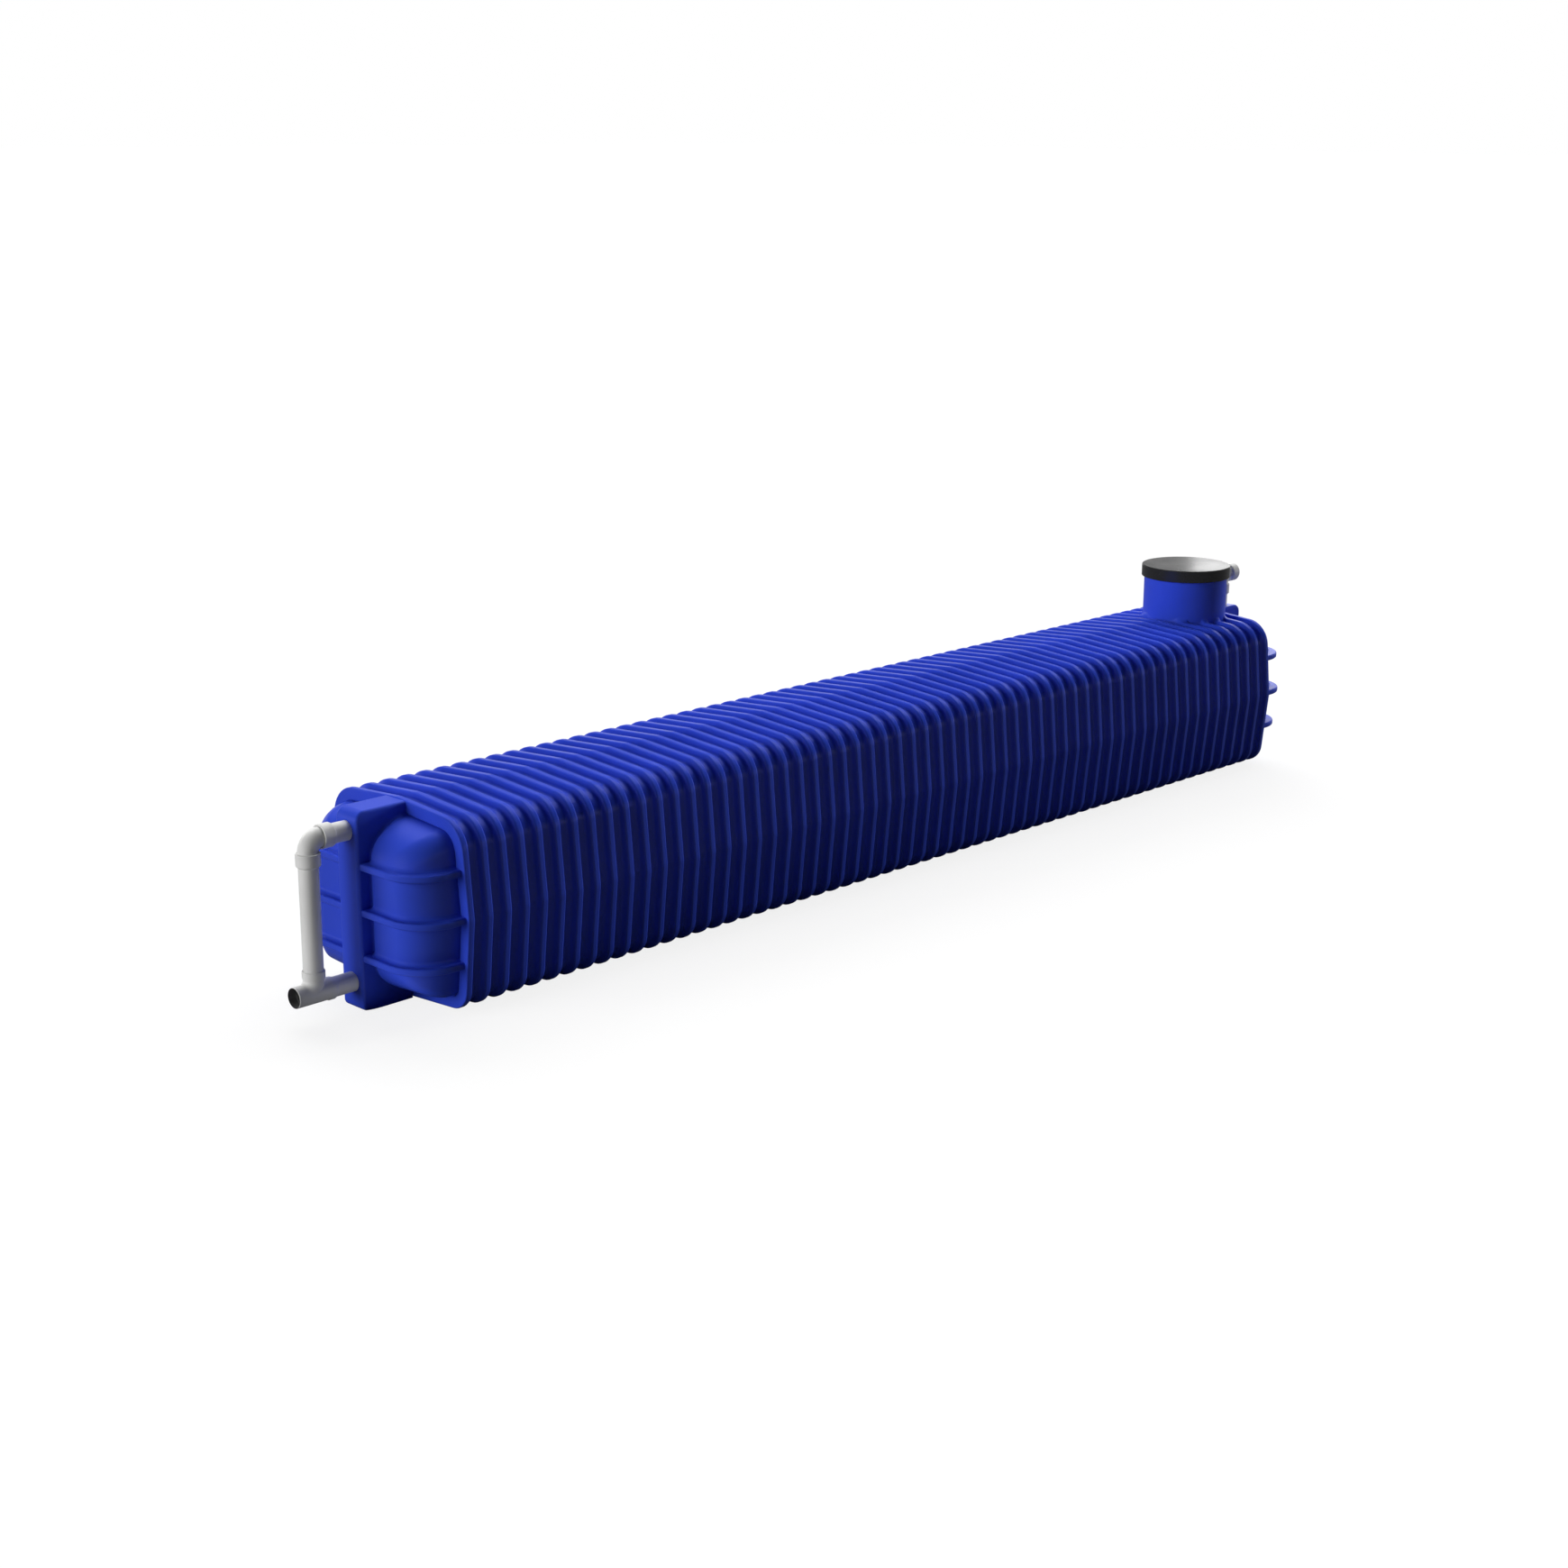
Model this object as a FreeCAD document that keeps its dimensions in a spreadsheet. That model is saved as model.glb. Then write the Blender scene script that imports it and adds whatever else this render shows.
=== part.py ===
import FreeCAD
import Part
import math
import os
import Sketcher
from FreeCAD import Placement, Rotation, Vector

# Long ribbed underground water tank, laid along X, standing at Z = 0 on the keel of its floor and its spines' feet.
# The near end (-X) has the overflow and outlet pipes, the far end (+X) the manhole and the inlet.
# Front is the -Y side and back the +Y side. All sizes are millimetres.

SIZES = {
    # Ribbed body
    "rib_pitch": 126,
    "rib_depth": 34,
    "crest_width": 32,
    "flank_run": 18,
    "wall": 12,
    "half_width": 606,
    "fold_height": 553,
    "roof_height": 1118,
    "side_lean": 52,
    "roof_fall": 40,
    "floor_rise": 38,
    "corner_radius": 128,
    # Ends
    "rim_lead": 20,
    "rim_band": 72,
    "dome_depth": 265,
    "dome_round": 200,
    "spine_reach": 345,
    "spine_half": 92,
    "spine_edge_radius": 30,
    "spine_top_radius": 60,
    "fin_thickness": 28,
    "fin_spacing": 256,
    "fin_corner_radius": 250,
    "fin_side_inset": 24,
    # Manhole
    "shaft_radius": 300,
    "shaft_rib": 57,
    "shaft_rise": 345,
    "shaft_foot_drop": 28,
    "flare_reach": 20,
    "flare_height": 34,
    "lid_reach": 20,
    "lid_thickness": 14,
    "lid_skirt": 84,
    "lid_wall": 8,
    "lid_edge_radius": 6,
    # Pipes and fittings
    "pipe_radius": 55,
    "pipe_wall": 3.2,
    "socket_wall": 7,
    "collar_wall": 12,
    "socket_length": 76,
    "bend_throat": 17,
    "fitting_wall": 3,
    "overflow_drop": 120,
    "outlet_height": 154,
    "downpipe_offset": 246,
    "outlet_nose": 130,
    "tee_tail": 118,
    "sweep_throat": 20,
    "tee_socket": 50,
    "tee_shoulder": 12,
    "sweep_ease": 8,
    "inlet_inset": 139,
    "inlet_rise": 235,
    "pipe_entry": 40,
    # Fits
    "pipe_gap": 0.3,
    "shaft_gap": 0.5,
    "seat_gap": 0.3,
}
SECTION_COUNT = 5
RIBS_PER_SECTION = 12
CORNER_FACETS = 2
DOME_STEPS = 4

doc = FreeCAD.newDocument("underground_tank")
sheet = doc.addObject("Spreadsheet::Sheet", "Sizes")
for row, (alias, number) in enumerate(SIZES.items(), start=1):
    sheet.set(f"A{row}", alias)
    sheet.set(f"B{row}", str(number))
    sheet.setAlias(f"B{row}", alias)
doc.recompute()
size = {alias: float(sheet.get(alias)) for alias in SIZES}
pieces = []

# Places that several pieces share
rib_count = SECTION_COUNT * RIBS_PER_SECTION
body_length = (rib_count - 1) * size["rib_pitch"]
bend_radius = size["pipe_radius"] + size["bend_throat"]
sweep_radius = size["pipe_radius"] + size["sweep_throat"]
overflow_height = size["roof_height"] - size["overflow_drop"]
pipe_reach = size["spine_reach"] + size["downpipe_offset"] + size["outlet_nose"]
inlet_reach = size["spine_reach"] - size["inlet_inset"] + bend_radius + size["socket_length"]
middle_x = (pipe_reach - inlet_reach) / 2
near_x = middle_x - body_length / 2
far_x = middle_x + body_length / 2
shaft_x = near_x + size["shaft_rib"] * size["rib_pitch"]
valley_inset = size["rib_depth"]


def keep(piece, label):
    """Name a finished sub-part and list it for export."""
    piece.Label = label
    pieces.append(piece)
    return piece


def bind(piece, **bindings):
    """Tie properties of a document object to the sheet."""
    for prop, formula in bindings.items():
        piece.setExpression(prop, formula)
    return piece


def cells(formula):
    """Write the aliases in a formula as references to the sheet."""
    words = formula.replace("(", " ( ").replace(")", " ) ").split()
    return "".join(f"Sizes.{word}" if word in SIZES else word for word in words)


def part_object(kind, name, at=Vector(), turn=Rotation(), **sizes):
    """A Part primitive whose sizes follow the sheet."""
    piece = doc.addObject(kind, name)
    bind(piece, **{prop: cells(formula) for prop, formula in sizes.items()})
    piece.Placement = Placement(at, turn)
    return piece


def cut(name, base, tool):
    piece = doc.addObject("Part::Cut", name)
    piece.Base = base
    piece.Tool = tool
    return piece


def fuse(name, shapes):
    piece = doc.addObject("Part::MultiFuse", name)
    piece.Shapes = shapes
    return piece


def solid_feature(name, shape):
    piece = doc.addObject("Part::Feature", name)
    piece.Shape = shape
    return piece


# Cross-section: straight runs given by an outward normal and a distance, joined by rounded corners

def run_through(start, end):
    """The outward normal and distance of the wall line from start to end, going anticlockwise."""
    along = (end - start).normalize()
    normal = Vector(along.y, -along.x)
    return normal, normal.dot(start)


def meeting_point(first, second, inset=0.0):
    """Where two runs cross once both have moved inwards."""
    (n1, d1), (n2, d2) = first, second
    det = n1.x * n2.y - n1.y * n2.x
    c1 = d1 - inset
    c2 = d2 - inset
    return Vector((c1 * n2.y - c2 * n1.y) / det, (n1.x * c2 - n2.x * c1) / det)


def main_runs():
    """Floor, back wall, roof and front wall runs, anticlockwise seen from the far end."""
    keel = Vector(0, 0)
    foot = Vector(size["half_width"] - size["side_lean"], size["floor_rise"])
    fold = Vector(size["half_width"], size["fold_height"])
    eave = Vector(size["half_width"] - size["side_lean"], size["roof_height"] - size["roof_fall"])
    ridge = Vector(0, size["roof_height"])
    right = [foot, fold, eave, ridge]
    left = [Vector(-point.x, point.y) for point in reversed(right[:-1])]
    outline = [keel] + right + left
    return [run_through(a, b) for a, b in zip(outline, outline[1:] + outline[:1])]


RUNS = main_runs()
# Runs in order: floor back, back low, back high, roof back, roof front, front high, front low, floor front
CORNERS = {"foot_back": (0, 1), "eave_back": (2, 3), "eave_front": (4, 5), "foot_front": (6, 7)}


def corner_runs(corner, inset, radius):
    """Flat facets that follow a rounded corner, for an outline that has moved inwards."""
    first, second = (RUNS[index] for index in CORNERS[corner])
    centre = meeting_point(first, second, inset + radius)
    start = math.atan2(first[0].y, first[0].x)
    turn = (math.atan2(second[0].y, second[0].x) - start) % (2 * math.pi)
    facets = []
    for step in range(1, CORNER_FACETS + 1):
        angle = start + turn * step / (CORNER_FACETS + 1)
        normal = Vector(math.cos(angle), math.sin(angle))
        facets.append((normal, normal.dot(centre) + radius))
    return facets


def moved_in(run, inset):
    return run[0], run[1] - inset


def half_corner(corner, inset, radius, last_half):
    """The corner's facets on one side of its middle, and the point at the middle."""
    facets = corner_runs(corner, inset, radius)
    middle = CORNER_FACETS // 2
    point = meeting_point(facets[middle - 1], facets[middle])
    return (facets[middle:] if last_half else facets[:middle]), point


WALLS = {
    "floor": ("foot_front", [7, 0], "foot_back"),
    "back_wall": ("foot_back", [1, 2], "eave_back"),
    "roof": ("eave_back", [3, 4], "eave_front"),
    "front_wall": ("eave_front", [5, 6], "foot_front"),
}


def wall_line(wall, inset):
    """One wall's line from corner middle to corner middle."""
    first, straight, last = WALLS[wall]
    radius = size["corner_radius"] - inset
    before, start = half_corner(first, inset, radius, True)
    after, end = half_corner(last, inset, radius, False)
    runs = before + [moved_in(RUNS[index], inset) for index in straight] + after
    crossings = [meeting_point(a, b) for a, b in zip(runs, runs[1:])]
    return [start] + crossings + [end]


def slice_at(x, points):
    """A cross-section outline stood up at x."""
    return [Vector(x, point.x, point.y) for point in points]


def wall_slice(wall, x, outer_inset, inner_inset):
    """The wall cut square across the tank at x."""
    return slice_at(x, wall_line(wall, outer_inset) + wall_line(wall, inner_inset)[::-1])


def flat_face(corners):
    return Part.Face(Part.makePolygon(corners + corners[:1]))


def plated(slices):
    """A solid with one flat face between each pair of matching edges of neighbouring slices."""
    faces = [flat_face(slices[0]), flat_face(slices[-1])]
    for here, there in zip(slices, slices[1:]):
        for index, corner in enumerate(here):
            faces.append(flat_face([here[index - 1], corner, there[index], there[index - 1]]))
    solid = Part.Solid(Part.Shell(faces))
    if solid.Volume < 0:
        solid.reverse()
    return solid


def rib_stations(first, last):
    """Places along the tank where the wall bends, with the insets of its two faces there."""
    pitch = size["rib_pitch"]
    half_crest = size["crest_width"] / 2
    foot = half_crest + size["flank_run"]
    hollow = valley_inset + size["wall"]
    stations = []
    for rib in range(first, last + 1):
        crest = near_x + rib * pitch
        into = [(crest - foot, valley_inset, hollow), (crest - half_crest, 0, size["wall"])]
        out_of = [(crest + half_crest, 0, size["wall"]), (crest + foot, valley_inset, hollow)]
        if rib == 0:
            into = [(crest - size["rim_lead"] + size["wall"], 0, size["wall"])]
        if rib == rib_count - 1:
            out_of = [(crest + size["rim_lead"] - size["wall"], 0, size["wall"])]
        if rib == first and rib > 0:
            stations.append((crest - pitch / 2, valley_inset, hollow))
        stations += into + out_of
        if rib == last and rib < rib_count - 1:
            stations.append((crest + pitch / 2, valley_inset, hollow))
    return stations


def ribbed_wall(wall, first, last):
    """One side of the ribbed body from its first rib to its last."""
    slices = [wall_slice(wall, *station) for station in rib_stations(first, last)]
    return solid_feature(f"Wall_{wall}_{first}", plated(slices))


# Manhole shaft: passes through the roof beside the far rim, its flare cut to the roof's slopes
shaft_foot = size["roof_height"] - size["roof_fall"] - size["shaft_foot_drop"]
shaft_hole = part_object("Part::Cylinder", "ShaftHole", Vector(shaft_x, 0, shaft_foot - size["wall"]),
                         Radius="shaft_radius + shaft_gap", Height="roof_height + shaft_rise")

hole_ribs = (size["shaft_radius"] + size["shaft_gap"]) / size["rib_pitch"]
manhole_rib = math.floor(size["shaft_rib"] - hole_ribs + 0.5)

for section in range(SECTION_COUNT):
    first = section * RIBS_PER_SECTION
    last = first + RIBS_PER_SECTION - 1
    for wall in WALLS:
        has_manhole = wall == "roof" and last == rib_count - 1
        panel = ribbed_wall(wall, first, manhole_rib - 1 if has_manhole else last)
        keep(panel, f"{wall}_{section + 1}")
keep(cut("ManholeRoof", ribbed_wall("roof", manhole_rib, rib_count - 1), shaft_hole), "manhole_roof")


def whole_outline(inset):
    """The cross-section's outline all the way round."""
    return [point for wall in WALLS for point in wall_line(wall, inset)[:-1]]


def rim(end, name):
    """The flat frame that closes the last rib and takes the domes in its opening."""
    face = (near_x if end < 0 else far_x) + end * size["rim_lead"]
    outer = flat_face(slice_at(face, whole_outline(0)))
    opening = flat_face(slice_at(face, whole_outline(size["rim_band"])))
    frame = outer.cut(opening).Faces[0].extrude(Vector(-end * size["wall"], 0, 0))
    return solid_feature(f"Rim_{name}", frame)


keep(rim(-1, "near"), "near_rim")
keep(cut("ManholeRim", rim(1, "far"), shaft_hole), "far_rim")


# Domed ends: one half-width dome each side of the spine, open at the back and beside the spine
HALVES = {
    1: (("foot_back", "eave_back"), (0, 1, 2, 3)),
    -1: (("eave_front", "foot_front"), (4, 5, 6, 7)),
}


def dome_outline(side, inset, radius, edge):
    """Half of the cross-section from the spine's side out to the tank's side."""
    corners, order = HALVES[side]
    before, after = [corner_runs(corner, inset, radius) for corner in corners]
    first, second, third, fourth = [moved_in(RUNS[index], inset) for index in order]
    beside_spine = (Vector(-side, 0), -edge)
    closed = [beside_spine, first] + before + [second, third] + after + [fourth]
    return [meeting_point(a, b) for a, b in zip(closed, closed[1:] + closed[:1])]


def dome_form(side, end, skin, edge):
    """A dome whose outline draws in along a quarter ellipse, set back by a skin thickness."""
    rim_x = near_x if end < 0 else far_x
    face = rim_x + end * size["rim_lead"]
    band = size["rim_band"] + skin
    radius = size["corner_radius"] - band
    collar = face - end * (size["wall"] + skin)
    slices = [slice_at(collar, dome_outline(side, band, radius, edge))]
    for step in range(DOME_STEPS + 1):
        angle = math.pi / 2 * step / DOME_STEPS
        inset = band + (size["dome_round"] - skin) * (1 - math.cos(angle))
        x = face + end * (size["dome_depth"] - skin) * math.sin(angle)
        slices.append(slice_at(x, dome_outline(side, inset, radius, edge)))
    return plated(slices)


def domed_end(side, end, name):
    outer = dome_form(side, end, 0, size["spine_half"])
    inner = dome_form(side, end, size["wall"], size["spine_half"] - size["wall"])
    skin = cut(f"Dome_{name}", solid_feature(f"DomeOuter_{name}", outer),
               solid_feature(f"DomeInner_{name}", inner))
    return skin, outer


def fin_set(side, end, name, dome):
    """Three level fins from the spine to the rim, standing proud of the dome they brace."""
    rim_x = near_x if end < 0 else far_x
    face = rim_x + end * size["rim_lead"]
    front = rim_x + end * size["spine_reach"]
    radius = size["fin_corner_radius"]
    fins = []
    for step in (-1, 0, 1):
        middle = size["fold_height"] + step * size["fin_spacing"]
        low = middle - size["fin_thickness"] / 2
        reach = size["half_width"] - size["fin_side_inset"] - abs(step) * size["side_lean"] / 2
        inside = Vector(face, side * size["spine_half"], low)
        nose = Vector(front, side * size["spine_half"], low)
        bend_start = Vector(front, side * (reach - radius), low)
        bend_end = Vector(front - end * radius, side * reach, low)
        heart = Vector(front - end * radius, side * (reach - radius), low)
        bend_middle = heart + Vector(end, side, 0).normalize() * radius
        outside = Vector(face, side * reach, low)
        edges = [
            Part.LineSegment(inside, nose).toShape(),
            Part.LineSegment(nose, bend_start).toShape(),
            Part.Arc(bend_start, bend_middle, bend_end).toShape(),
            Part.LineSegment(bend_end, outside).toShape(),
            Part.LineSegment(outside, inside).toShape(),
        ]
        plate = Part.Face(Part.Wire(edges)).extrude(Vector(0, 0, size["fin_thickness"]))
        fins.append(plate.cut(dome))
    return solid_feature(f"Fins_{name}", Part.makeCompound(fins))


# Hollow spine down the middle of each end, open towards the tank and, behind the domes, sideways
spine_top = meeting_point(RUNS[3], (Vector(1, 0), size["spine_half"])).y


def spine(end, name, holes):
    rim_x = near_x if end < 0 else far_x
    length = size["spine_reach"] - size["rim_lead"]
    back = rim_x + end * size["rim_lead"]
    front = rim_x + end * size["spine_reach"]
    low_x = min(back, front)
    box = part_object("Part::Box", f"SpineBlock_{name}", Vector(low_x, -size["spine_half"], 0),
                      Length="spine_reach - rim_lead", Width="spine_half * 2")
    box.Height = spine_top
    doc.recompute()
    rounded = doc.addObject("Part::Fillet", f"SpineRounded_{name}")
    rounded.Base = box
    rounded.Edges = spine_edges(box.Shape, front)
    hollow = part_object("Part::Box", f"SpineHollow_{name}",
                         Vector(low_x - end * size["wall"], -size["spine_half"] + size["wall"], size["wall"]),
                         Length="spine_reach - rim_lead", Width="( spine_half - wall ) * 2")
    hollow.Height = spine_top - 2 * size["wall"]
    window_low = size["rim_band"] + size["dome_round"] + size["wall"]
    window_x = low_x if end > 0 else low_x + length - (size["dome_depth"] - size["wall"])
    window = part_object("Part::Box", f"SpineWindow_{name}",
                         Vector(window_x, -size["half_width"] / 2, window_low),
                         Length="dome_depth - wall", Width="half_width")
    window.Height = spine_top - 2 * window_low + size["wall"]
    return cut(f"Spine_{name}", rounded, fuse(f"SpineSpace_{name}", [hollow, window] + holes))


def spine_edges(block, front):
    """The upright front edges and the top front edge of a spine block, with their radii."""
    rounded = []
    for number, edge in enumerate(block.Edges, start=1):
        ends = [vertex.Point for vertex in edge.Vertexes]
        if any(abs(point.x - front) > 0.01 for point in ends):
            continue
        upright = abs(ends[0].z - ends[1].z) > 1
        at_top = not upright and ends[0].z > spine_top / 2
        if upright:
            rounded.append((number, size["spine_edge_radius"], size["spine_edge_radius"]))
        elif at_top:
            rounded.append((number, size["spine_top_radius"], size["spine_top_radius"]))
    return rounded


ALONG_X = Rotation(Vector(0, 1, 0), 90)
AGAINST_X = Rotation(Vector(0, 1, 0), -90)
pipe_x = near_x - size["spine_reach"] - size["downpipe_offset"]
near_front_x = near_x - size["spine_reach"]
inlet_x = far_x + size["spine_reach"] - size["inlet_inset"]


def pipe_hole(name, at, turn):
    return part_object("Part::Cylinder", name, at, turn,
                       Radius="pipe_radius + pipe_gap", Height="wall * 4")


near_holes = [
    pipe_hole(f"SpineHole_{name}", Vector(near_front_x - size["wall"], 0, level), ALONG_X)
    for name, level in (("overflow", overflow_height), ("outlet", size["outlet_height"]))
]
inlet_hole = pipe_hole("SpineHole_inlet", Vector(inlet_x, 0, spine_top - 2 * size["wall"]), Rotation())
far_cuts = [inlet_hole, shaft_hole]

for end, end_name, holes in ((-1, "near", near_holes), (1, "far", far_cuts)):
    keep(spine(end, end_name, holes), f"{end_name}_spine")
    for side, side_name in ((-1, "front"), (1, "back")):
        name = f"{end_name}_{side_name}"
        dome, dome_outer = domed_end(side, end, name)
        keep(dome, f"{name}_dome")
        keep(fin_set(side, end, name, dome_outer), f"{name}_fins")


# Manhole shaft and lift-off lid, turned about the shaft's axis

def turned_body(name, profile, sweep=360, facing=0):
    """A body turned about the shaft's axis from a closed profile of (radius, height) formulas."""
    body = doc.addObject("PartDesign::Body", name)
    sketch = body.newObject("Sketcher::SketchObject", f"{name}Profile")
    plane = next(feature for feature in body.Origin.OriginFeatures if feature.Role == "XZ_Plane")
    sketch.AttachmentSupport = (plane, [""])
    sketch.MapMode = "FlatFace"
    corners = [Vector(value_of(radius), value_of(height), 0) for radius, height in profile]
    count = len(corners)
    for index, start in enumerate(corners):
        sketch.addGeometry(Part.LineSegment(start, corners[(index + 1) % count]), False)
    for index in range(count):
        sketch.addConstraint(Sketcher.Constraint("Coincident", index, 2, (index + 1) % count, 1))
    for index, (radius, height) in enumerate(profile):
        if corners[index].x == 0:
            sketch.addConstraint(Sketcher.Constraint("PointOnObject", index, 1, -2))
        else:
            place_point(sketch, "DistanceX", index, corners[index].x, radius)
        place_point(sketch, "DistanceY", index, corners[index].y, height)
    turned = body.newObject("PartDesign::Revolution", f"{name}Turned")
    turned.Profile = sketch
    turned.ReferenceAxis = (sketch, ["V_Axis"])
    turned.Midplane = True
    turned.Angle = sweep
    body.Placement = Placement(Vector(shaft_x, 0, 0), Rotation(Vector(0, 0, 1), facing))
    return body


def value_of(formula):
    """The number that a sum of sheet aliases stands for."""
    total = 0.0
    sign = 1
    for word in formula.split():
        if word in "+-":
            sign = 1 if word == "+" else -1
        else:
            total += sign * (size[word] if word in size else float(word))
    return total


def place_point(sketch, kind, index, value, formula):
    number = sketch.addConstraint(Sketcher.Constraint(kind, -1, 1, index, 1, value))
    sketch.setExpression(f"Constraints[{number}]", cells(formula))


foot_level = "roof_height - roof_fall - shaft_foot_drop"
shaft_profile = [
    ("shaft_radius - wall", foot_level),
    ("shaft_radius + flare_reach", foot_level),
    ("shaft_radius + flare_reach", "roof_height"),
    ("shaft_radius", "roof_height + flare_height"),
    ("shaft_radius", "roof_height + shaft_rise"),
    ("shaft_radius - wall", "roof_height + shaft_rise"),
]
roof_outline = [meeting_point(RUNS[index], RUNS[index + 1]) for index in (2, 3, 4)]
roof_outline += [Vector(point.x, 0) for point in (roof_outline[2], roof_outline[0])]
roof_face = flat_face(slice_at(near_x, roof_outline))
under_roof = solid_feature("UnderRoof", roof_face.extrude(Vector(body_length * 2, 0, 0)))
shaft_core = part_object("Part::Cylinder", "ShaftCore", Vector(shaft_x, 0, 0),
                         Radius="shaft_radius", Height="roof_height + shaft_rise")
flare_trim = cut("FlareTrim", under_roof, shaft_core)
for facing, side in ((0, "far"), (90, "back"), (180, "near"), (270, "front")):
    quarter = turned_body(f"Shaft_{side}", shaft_profile, 90, facing)
    keep(cut(f"ManholeShaft_{side}", quarter, flare_trim), f"shaft_{side}")

lid_base = "roof_height + shaft_rise + seat_gap"
lid_top = f"{lid_base} + lid_thickness"
lid = turned_body("Lid", [
    ("0", lid_base),
    ("shaft_radius + lid_reach - lid_wall", lid_base),
    ("shaft_radius + lid_reach - lid_wall", f"{lid_top} - lid_skirt"),
    ("shaft_radius + lid_reach", f"{lid_top} - lid_skirt"),
    ("shaft_radius + lid_reach", f"{lid_top} - lid_edge_radius"),
    ("shaft_radius + lid_reach - lid_edge_radius", lid_top),
    ("0", lid_top),
])
keep(lid, "manhole_lid")


# Grey drain pipes and fittings in the tank's middle plane
FITTING = "pipe_radius + fitting_wall"
SOCKET = "pipe_radius + socket_wall"
COLLAR = "pipe_radius + collar_wall"
SOCKET_BORE = "pipe_radius + pipe_gap"
WATERWAY = "pipe_radius - pipe_wall"
BEND = "pipe_radius + bend_throat"
SWEEP = "pipe_radius + sweep_throat"


def cylinder(name, at, turn, radius, height):
    return part_object("Part::Cylinder", name, at, turn, Radius=radius, Height=height)


def pipe(label, at, turn, length):
    """A plain pipe of a given length from one point."""
    outer = part_object("Part::Cylinder", f"{label}_outer", at, turn, Radius="pipe_radius")
    bore = part_object("Part::Cylinder", f"{label}_bore", at, turn, Radius=WATERWAY)
    for tube in (outer, bore):
        tube.Height = length
    return keep(cut(label, outer, bore), label)


def quarter_bend(name, centre, turn, radius, bend):
    """A quarter of a ring, from its local X axis to its local Y axis."""
    ring = part_object("Part::Torus", name, centre, turn, Radius1=bend, Radius2=radius)
    ring.Angle3 = 90
    return ring


def elbow(label, x, height):
    """A socketed bend from straight down to along +X."""
    heart = Vector(x + bend_radius, 0, height - bend_radius)
    quarter = Rotation(Vector(-1, 0, 0), Vector(0, 0, 1), Vector(0, 1, 0), "XYZ")
    low = Vector(x, 0, height - bend_radius)
    side = Vector(x + bend_radius, 0, height)
    down = Rotation(Vector(1, 0, 0), 180)
    body = fuse(f"{label}_body", [
        quarter_bend(f"{label}_bend", heart, quarter, FITTING, BEND),
        cylinder(f"{label}_low_socket", low, down, COLLAR, "socket_length"),
        cylinder(f"{label}_side_socket", side, ALONG_X, COLLAR, "socket_length"),
    ])
    water = fuse(f"{label}_water", [
        quarter_bend(f"{label}_way", heart, quarter, WATERWAY, BEND),
        cylinder(f"{label}_low_bore", low, down, SOCKET_BORE, "socket_length"),
        cylinder(f"{label}_side_bore", side, ALONG_X, SOCKET_BORE, "socket_length"),
    ])
    return keep(cut(label, body, water), label)


def swept_tee(label, x, height):
    """A tee whose branch sweeps down into the run towards the outlet."""
    nose = Vector(x - size["outlet_nose"], 0, height)
    tail = Vector(x + size["tee_tail"], 0, height)
    branch = Vector(x, 0, height + sweep_radius)
    shoulder = branch - Vector(0, 0, size["tee_shoulder"])
    heart = Vector(x - sweep_radius, 0, height + sweep_radius)
    quarter = Rotation(Vector(0, 0, -1), Vector(1, 0, 0), Vector(0, -1, 0), "XYZ")
    body = fuse(f"{label}_body", [
        cylinder(f"{label}_run", nose, ALONG_X, FITTING, "outlet_nose + tee_tail"),
        quarter_bend(f"{label}_sweep", heart, quarter, f"{FITTING} - sweep_ease", SWEEP),
        cylinder(f"{label}_branch_socket", shoulder, Rotation(), SOCKET, "tee_shoulder + tee_socket"),
        cylinder(f"{label}_tail_socket", tail, AGAINST_X, SOCKET, "tee_socket"),
    ])
    water = fuse(f"{label}_water", [
        cylinder(f"{label}_run_way", nose, ALONG_X, WATERWAY, "outlet_nose + tee_tail"),
        quarter_bend(f"{label}_sweep_way", heart, quarter, f"{WATERWAY} - sweep_ease", SWEEP),
        cylinder(f"{label}_branch_bore", branch, Rotation(), SOCKET_BORE, "tee_socket"),
        cylinder(f"{label}_tail_bore", tail, AGAINST_X, SOCKET_BORE, "tee_socket"),
        cylinder(f"{label}_nose_bore", nose, ALONG_X, SOCKET_BORE, "tee_socket"),
    ])
    return keep(cut(label, body, water), label)


inside_x = near_front_x + size["pipe_entry"]
overflow_end = pipe_x + bend_radius + size["pipe_gap"]
outlet_end = pipe_x + size["tee_tail"] - size["tee_socket"] + size["pipe_gap"]
downpipe_top = overflow_height - bend_radius - size["pipe_gap"]
downpipe_foot = size["outlet_height"] + sweep_radius + size["pipe_gap"]
inlet_height = spine_top + size["inlet_rise"]
inlet_foot = spine_top - size["pipe_entry"]
inlet_top = inlet_height - bend_radius - size["pipe_gap"]

pipe("overflow_stub", Vector(overflow_end, 0, overflow_height), ALONG_X, inside_x - overflow_end)
elbow("overflow_elbow", pipe_x, overflow_height)
pipe("overflow_downpipe", Vector(pipe_x, 0, downpipe_foot), Rotation(), downpipe_top - downpipe_foot)
swept_tee("outlet_tee", pipe_x, size["outlet_height"])
pipe("outlet_stub", Vector(outlet_end, 0, size["outlet_height"]), ALONG_X, inside_x - outlet_end)
pipe("inlet_pipe", Vector(inlet_x, 0, inlet_foot), Rotation(), inlet_top - inlet_foot)
elbow("inlet_elbow", inlet_x, inlet_height)

# Nothing is written unless every object is sound
doc.recompute()
for item in doc.Objects:
    if "Invalid" in item.State or "Error" in item.State:
        raise RuntimeError(f"{item.Name} failed: {item.State}")
for piece in pieces:
    if piece.Shape.isNull() or not piece.Shape.isValid():
        raise RuntimeError(f"{piece.Label} is not a sound solid")
os.makedirs("parts", exist_ok=True)
for piece in pieces:
    piece.Shape.exportStep(f"parts/{piece.Label}.step")
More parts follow.
